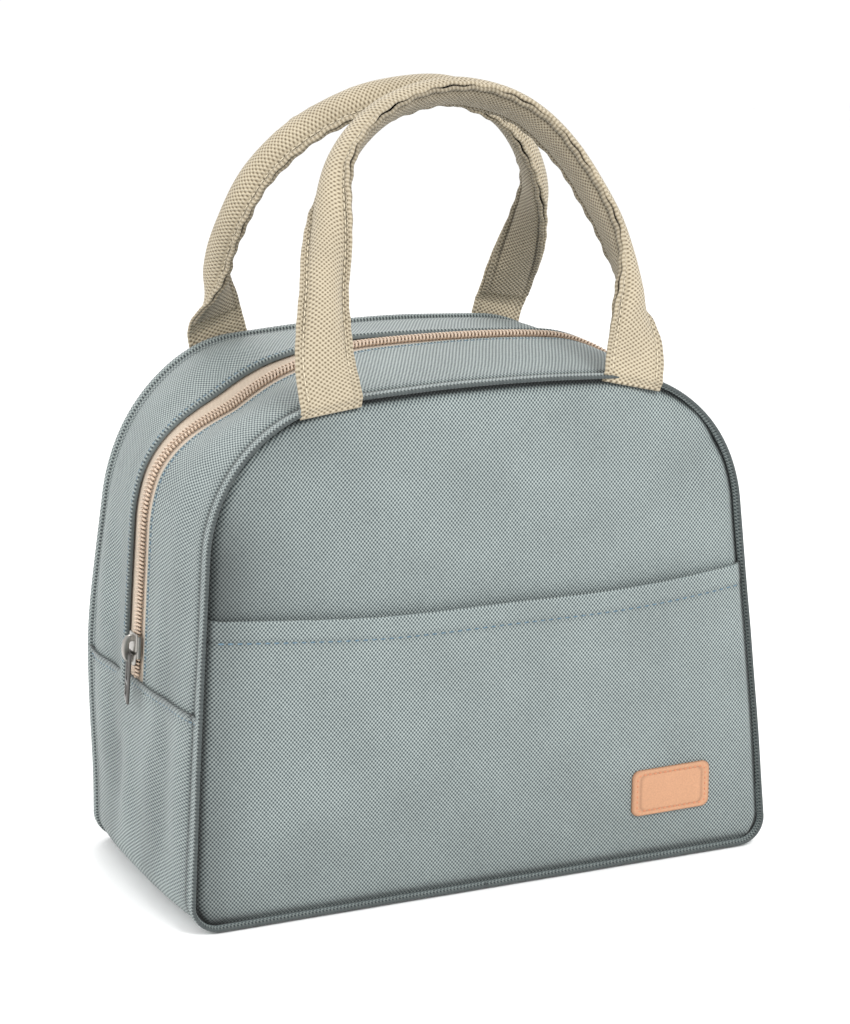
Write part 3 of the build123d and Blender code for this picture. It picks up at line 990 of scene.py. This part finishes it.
for side_name, side in both_sides:
    tape_s = strip_rows(-fold_run - 1, fold_run + 1, 1.6)
    tape_y = side * np.linspace(0.25, zip_edge + 7.0, 16)
    tape = make_strip(f"{side_name}_woven_tape", tape_s, tape_y, tape_out, 0.5, peach_tape)
    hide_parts(f"{side_name}_zipper_tape")
    hold(tape, f"{side_name}_half", 0, *strip_bend)

    reach = fold_run - 1.5
    per_turn = 12
    wound = np.linspace(-reach, reach, int(2 * reach / coil_pitch) * per_turn)
    angle = 2 * np.pi * wound / coil_pitch + (0 if side < 0 else np.pi)
    coil_y = side * (coil_half_wide + 0.1 + coil_half_wide * np.cos(angle))
    coil_out = tape_out + 0.15 + coil_wire + coil_half_tall * (1 + np.sin(angle))
    thread = gusset_point(wound, coil_y, coil_out)
    points = tube(thread, coil_wire)
    weave = np.stack(np.broadcast_arrays(wound[:, None], np.arange(6.0)[None]), -1)
    coil = make_piece(f"{side_name}_wound_coil", points.reshape(-1, 3), band_faces(*points.shape[:2]),
                      weave.reshape(-1, 2), peach_coil)
    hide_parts(f"{side_name}_zipper_coil")
    hold(coil, f"{side_name}_half", 0, *strip_bend)
print("zipper made")

# %% [markdown]
# ## The handles
# Each handle is two bands of webbing sewn one on the other. At its ends it is flat where the seam holds
# it. Above that the outer band is plumped up between its two rows of stitches, and the whole handle turns
# on edge towards the top, as webbing does when a hand has closed it.

# %% Handle path
web_wide, web_thick, grip_wide = 22.6, 1.5, 17.4
end_slopes = {-1: (0.16, 0.03), 1: (0.2, 0.03)}
web_puff = 5.2
web_seam, web_seam_wide = 0.80, 0.06
handle_lean = np.radians(26.2)
root_height = 194.0
flange = 0.74
twists = {-1: ((42.0, 108.0), (8.0, 66.0)), 1: ((6.0, 46.0), (12.0, 76.0))}

handle_knots = {
    -1: [(-58.3, -1), (-57.2, 22), (-49.5, 58), (-37, 93), (-12, 115), (21, 120.5), (50, 105), (68, 66),
         (70.2, 24), (64.4, -1)],
    1: [(-57, 6.5), (-60, 28), (-61, 56), (-53, 85), (-35, 106), (-8, 119), (24, 120), (52, 104), (71, 70),
        (70, 28), (65.5, 6.5)],
}


def curve_through(knots, count):
    """A smooth line through a few points: between two, a cubic whose slopes look to their neighbours."""
    knots = np.array(knots, float)
    slopes = np.gradient(knots, axis=0)
    t = np.linspace(0, len(knots) - 1, count)
    k = np.minimum(t.astype(int), len(knots) - 2)
    u = (t - k)[:, None]
    start, stop, leave, arrive = knots[k], knots[k + 1], slopes[k], slopes[k + 1]
    return (
        (2 * u**3 - 3 * u**2 + 1) * start + (u**3 - 2 * u**2 + u) * leave
        + (-2 * u**3 + 3 * u**2) * stop + (u**3 - u**2) * arrive
    )


def handle_up(side):
    """The way a handle stands up from its roots, leaning over the middle of the bag."""
    return np.array([0.0, -side * np.sin(handle_lean), np.cos(handle_lean)])


def handle_frame(side, count=420):
    """Along one handle: its middle line, the way ahead, the way its face looks, the way across, and the
    length from the nearer end."""
    flat, even = evenly(curve_through(handle_knots[side], 2400), count)
    up = handle_up(side)
    outside = np.array([0.0, side * np.cos(handle_lean), np.sin(handle_lean)])
    origin = np.array([0.0, side * (half_depth + 1.9), root_height])
    nearer = np.minimum(even, even[-1] - even)
    bow = -2.6 * (1 - smooth(nearer / 3.0))
    middle = origin + flat[:, :1] * np.array([1.0, 0, 0]) + flat[:, 1:] * up + bow[:, None] * outside
    if side > 0:
        over = np.clip(middle[:, 2] - root_height, 0, back_rise + 5.5) * np.tan(handle_lean)
        middle[:, 1] += over * (1 - smooth((middle[:, 2] - root_height - back_rise - 5.5) / 60))
    ahead = unit(np.gradient(middle, axis=0))
    away = unit(np.cross(ahead, outside))
    away *= np.sign(away[count // 2, 2])
    (left_from, left_to), (right_from, right_to) = twists[side]
    from_left = smooth((even - left_from) / (left_to - left_from))
    from_right = smooth((even[-1] - even - right_from) / (right_to - right_from))
    turn = np.minimum(from_left, from_right) * np.pi / 2
    face = outside * np.cos(turn)[:, None] + away * np.sin(turn)[:, None]
    return middle, ahead, unit(face), unit(np.cross(ahead, face)), nearer


def band_shape(count=30, ends=5):
    """A flat band end-on with round edges: places across from -1 to 1, and which side of it, from 1 to -1."""
    q = np.linspace(-1, 1, count)
    turn = np.linspace(0, np.pi, ends + 2)[1:-1]
    top, edge = np.ones(count), np.cos(turn)
    across = np.concatenate([q, 1 + 0 * turn, -q, -1 + 0 * turn])
    through = np.concatenate([top, edge, -top, -edge])
    bulge = np.concatenate([0 * q, np.sin(turn), 0 * q, -np.sin(turn)])
    return across, through, bulge


def make_webbing(name, side, under, replaced):
    """One band of a handle. Across it, the middle is raised between two flat flanges; along it, the raised
    part grows from nothing above the sewn end, and small puckers follow the stitches."""
    middle, ahead, face, across_way, nearer = handle_frame(side)
    keep = nearer >= (16.0 if under else 0.0)
    middle, ahead, face, across_way, nearer = (a[keep] for a in (middle, ahead, face, across_way, nearer))
    across, through, bulge = band_shape(44)
    grow = smooth((nearer - 12) / 26)[:, None]
    wide = (web_wide + (grip_wide - web_wide) * smooth((nearer - 8) / 45))[:, None] * (0.94 if under else 1.0)
    pillow = np.clip(1 - (np.abs(across) / flange) ** 2.2, 0, 1) ** 0.85
    puff = web_puff * grow * pillow * (-0.28 if under else 1.0)
    length = run_along(middle)[:, None]
    pucker = 0.3 * np.sin(length / 1.35 + side) * np.abs(across) ** 3 + 0.25 * np.sin(length / 4.7) * across
    groove = -0.6 * bell(np.abs(across) - web_seam, web_seam_wide) * through
    level = through * web_thick / 2 + puff + (pucker + groove) * (0.3 + 0.7 * grow)
    level = level - ((web_thick + 0.15) if under else 0.0)
    points = (
        middle[:, None] + across_way[:, None] * (across * wide / 2 + bulge * web_thick / 2)[..., None]
        + face[:, None] * level[..., None]
    )
    left_slope, right_slope = end_slopes[side]
    slope = np.where(middle[:, :1] < 0, left_slope, -right_slope) * (1 - smooth(nearer / 24))[:, None]
    points[..., 2] += slope * (points[..., 0] - middle[:, :1])
    cloth = np.stack(np.broadcast_arrays(across * web_wide / 2, length), -1)
    faces = band_faces(*points.shape[:2])
    # Painted shade: darker in the stitch grooves and along both edges, and all over the inner band, which lies
    # under the outer one.
    dark = 0.42 * bell(np.abs(across) - web_seam, web_seam_wide) * (0.35 + 0.65 * grow) + (0.28 if under else 0.0)
    dark = dark + 0.14 * (np.abs(across) > 0.93) + 0 * length
    piece = make_piece(name, points.reshape(-1, 3), faces, cloth.reshape(-1, 2), cream_webbing, shade=dark)
    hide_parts(*replaced)
    return piece, (middle, face, across_way, nearer, wide[:, 0])


def hold_handle(piece):
    """Bakes the piece's place into its mesh."""
    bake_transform(piece)


for side_name, side in both_sides:
    ends = [f"{side_name}_handle_{where}_sewn_end" for where in ("left", "right")]
    outer_node = f"{side_name}_handle_outer_webbing"
    inner_node = f"{side_name}_handle_inner_webbing"
    outer, facts = make_webbing(f"{side_name}_outer_band", side, False, [outer_node, *ends])
    inner, _ = make_webbing(f"{side_name}_inner_band", side, True, [inner_node])
    hold_handle(outer)
    hold_handle(inner)
    middle, face, across_way, nearer, wide = facts
    for edge_name, edge in (("first", -1), ("second", 1)):
        use = nearer > 3
        line = middle + across_way * (edge * web_seam * wide / 2)[:, None] + face * (web_thick / 2 - 0.05)
        row = stitch_row(f"{side_name}_handle_{edge_name}_stitches", line[use], face[use], cream_thread,
                         3.0, 2.3, 0.3)
        hold_handle(row)
print("handles made")

# %% [markdown]
# ## The leather patch
# A small plain tan patch, cut with round corners, thick in the middle and pressed thin at its edge, and
# sewn on by a line of running stitches just inside the edge.

# %% Patch
patch_middle = (patch_low + patch_high) / 2 - np.array([3.7, 0.0, 0.0])
patch_half = (patch_high - patch_low) / 2
patch_round = 3.2
patch_seam_in, patch_edge_thick, patch_plump = 2.0, 0.7, 0.55


def rounded_outline(half_x, half_z, radius, count):
    """A rectangle with round corners, by length along its edge."""
    turn = np.linspace(0, np.pi / 2, 24)
    corners = []
    for k, (sx, sz) in enumerate(((1, 1), (-1, 1), (-1, -1), (1, -1))):
        arc = np.stack([np.cos(turn + k * np.pi / 2), np.sin(turn + k * np.pi / 2)], -1) * radius
        corners.append(arc + (sx * (half_x - radius), sz * (half_z - radius)))
    return evenly(np.concatenate([*corners, corners[0][:1]]), count, closed=True)[0]


patch_edge = rounded_outline(patch_half[0], patch_half[2], patch_round, 220)
shares = 1 - np.linspace(0, 1, 34, endpoint=False) ** 1.5
place = patch_edge[None] * shares[:, None, None] + (patch_middle[0], patch_middle[2])
inside = (1 - shares)[:, None] * patch_half[2]
rounding = patch_plump * np.sqrt(np.clip(1 - (1 - np.clip(inside / 0.7, 0, 1)) ** 2, 0, 1))
channel = 0.16 * bell(inside - patch_seam_in, 0.5)
patch_outer = pocket_point(place[..., 0], place[..., 1], patch_edge_thick + rounding - channel)
patch_inner = pocket_point(place[..., 0], place[..., 1], 0.12)
# Painted shade in the stitch channel and along the patch's edge.
patch_painted_shade = 0.30 * bell(inside - patch_seam_in, 0.32) + 0.34 * bell(inside, 0.45) + 0 * place[..., 0]
patch = disc_skin("tan_patch", patch_outer, patch_inner, place, tan_leather, patch_painted_shade)
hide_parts("leather_patch")
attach(patch, "bag")

stitch_edge = rounded_outline(patch_half[0] - patch_seam_in, patch_half[2] - patch_seam_in, patch_round - 1.4, 400)
stitch_edge = np.concatenate([stitch_edge, stitch_edge[:1]]) + (patch_middle[0], patch_middle[2])
patch_line = pocket_point(stitch_edge[:, 0], stitch_edge[:, 1], patch_edge_thick + patch_plump - 0.1)
patch_face = np.tile([0.0, -1.0, 0.0], (len(patch_line), 1))
patch_row = stitch_row("tan_patch_stitches", patch_line, patch_face, tan_thread, 2.2, 1.5, 0.34)
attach(patch_row, "bag")

# %% [markdown]
# ## The slider and its pull
# The slider is a cast plate with square shoulders and a narrow tail, domed in its middle, with a bent
# strap over it. The pull is a small ladder that hangs from the strap, turned a little on its bar as a loose
# pull is. Both are worked out in the slider's own directions, from the hinge that the frame gives.

# %% Slider frame
pull_joint = next(j for j in frame["record"]["behaviour"]["joints"] if j["name"] == "zipper_pull_swing")
slide_joint = next(j for j in frame["record"]["behaviour"]["joints"] if j["name"] == "zipper_slider_travel")
hinge = np.array(pull_joint["pos_m"]) / MM
slide_way = np.array(slide_joint["axis"])
slide_out = np.array([-slide_way[2], 0.0, slide_way[0]])
slide_front = np.array([0.0, -1.0, 0.0])
plate_top, plate_thick, plate_mid, plate_long = -0.9, 1.3, 1.6, 13.0


def slider_place(front, up, out):
    """A place from the hinge: towards the front, up the zipper and out of the bag."""
    return hinge + front[..., None] * slide_front + up[..., None] * slide_way + out[..., None] * slide_out


def bar(path, wide, thick, face, sides=16):
    """A bar with rounded edges along a line of points: a superellipse whose flat side looks along face."""
    ahead = unit(np.gradient(path, axis=0))
    across = unit(np.cross(face, ahead))
    up = np.cross(ahead, across)
    turn = np.linspace(0, 2 * np.pi, sides, endpoint=False)
    c, d = (np.sign(v) * np.abs(v) ** 0.55 for v in (np.cos(turn), np.sin(turn)))
    ring = c[None, :, None] * across[:, None] * wide / 2 + d[None, :, None] * up[:, None] * thick / 2
    return path[:, None] + ring


def bars_piece(name, rings, material):
    """Several bars as one piece."""
    points, faces, offset = [], [], 0
    for ring in rings:
        points.append(ring.reshape(-1, 3))
        faces.append(band_faces(*ring.shape[:2]) + offset)
        offset += len(points[-1])
    points = np.concatenate(points)
    return make_piece(name, points, np.concatenate(faces), points[:, :2], material, 40.0)


# %% Slider
up_rows = np.concatenate([[0], smooth(np.linspace(0, 1, 60)), [1]]) * plate_long - plate_long / 2
across_columns = np.sin(np.linspace(-np.pi / 2, np.pi / 2, 40))
row_up, column = np.meshgrid(up_rows, across_columns, indexing="ij")
shoulder = smooth((row_up + 5.2) / 5.0)
plate_half = 2.4 + 2.3 * shoulder - 1.2 * np.clip(-(row_up + 5.3) / 1.2, 0, 1) ** 2
end_round = 0.3 * (np.clip((np.abs(row_up) - 6.0) / 0.5, 0, 1) ** 2)
dome = 0.3 * bell(row_up + 1.0, 3.2) * (1 - column**2)
high = plate_top - 0.35 * np.abs(column) ** 8 - end_round + dome - 0.25
low = plate_top - plate_thick + 0.2 * np.abs(column) ** 8 + end_round
plate_outer = slider_place(column * plate_half, row_up + plate_mid, high)
plate_inner = slider_place(column * plate_half, row_up + plate_mid, low)
plate = skin("slider_plate", plate_outer, plate_inner, np.stack([row_up, column], -1), bright_nickel)
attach(plate, "zipper_slider")

t = np.linspace(0, np.pi, 40)
strap_up = plate_mid + 0.4 + 4.1 * np.cos(t)
strap_out = plate_top - 0.5 + 3.1 * np.sin(t) ** 0.55
strap_path = slider_place(0 * t, strap_up, strap_out)
strap = bars_piece("slider_strap", [bar(strap_path, 2.8, 1.1, slide_front)], bright_nickel)
lip_up = plate_mid + np.linspace(-3.0, 5.6, 12)
lip_path = slider_place(4.35 + 0 * lip_up, lip_up, plate_top - 1.7 + 0 * lip_up)
lip = bars_piece("slider_lip", [bar(lip_path, 0.8, 1.9, slide_out)], bright_nickel)
for piece in (strap, lip):
    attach(piece, "zipper_slider")
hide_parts("zipper_slider_body")

# %% Pull
pull_turn = np.radians(12.0)
pull_across = slide_front * np.cos(pull_turn) + slide_out * np.sin(pull_turn)
pull_face = slide_out * np.cos(pull_turn) - slide_front * np.sin(pull_turn)
pull_down = -slide_way + 0.03 * slide_out
pull_half, pull_long, pull_bar = 4.4, 18.5, 1.2


def pull_run(start, stop, count=14):
    """A straight run of points between two places on the pull, each as (across, down)."""
    share = np.linspace(0, 1, count)[:, None]
    a, d = (np.array(start) * (1 - share) + np.array(stop) * share).T
    return hinge + a[:, None] * pull_across + d[:, None] * pull_down


rings = [bar(pull_run((sign * pull_half, -0.4), (sign * pull_half, pull_long)), 1.5, pull_bar, pull_face)
         for sign in (-1, 1)]
for down, wide in ((0.0, 1.3), (pull_long * 0.62, 1.5), (pull_long - 0.5, 2.2)):
    rings.append(bar(pull_run((-pull_half - 0.4, down), (pull_half + 0.4, down)), wide, pull_bar, pull_face))
pull = bars_piece("ladder_pull", rings, dark_nickel)
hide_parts("zipper_pull_frame")
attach(pull, "zipper_pull")
print("slider and pull made")

# %% [markdown]
# ## What is soft
# Some pieces are padded and some are sheets of cloth, each cut to a size. A foam layer is a pad.
# A sheet's flat size is the length and width of its cut, and the arch-shaped panels are smaller than the
# rectangle they are cut from. Below, each half's woven tape is looked up by name.

# %% Soft pieces
for side_name in ("front", "back"):
    tape = bpy.data.objects[f"{side_name}_woven_tape"]
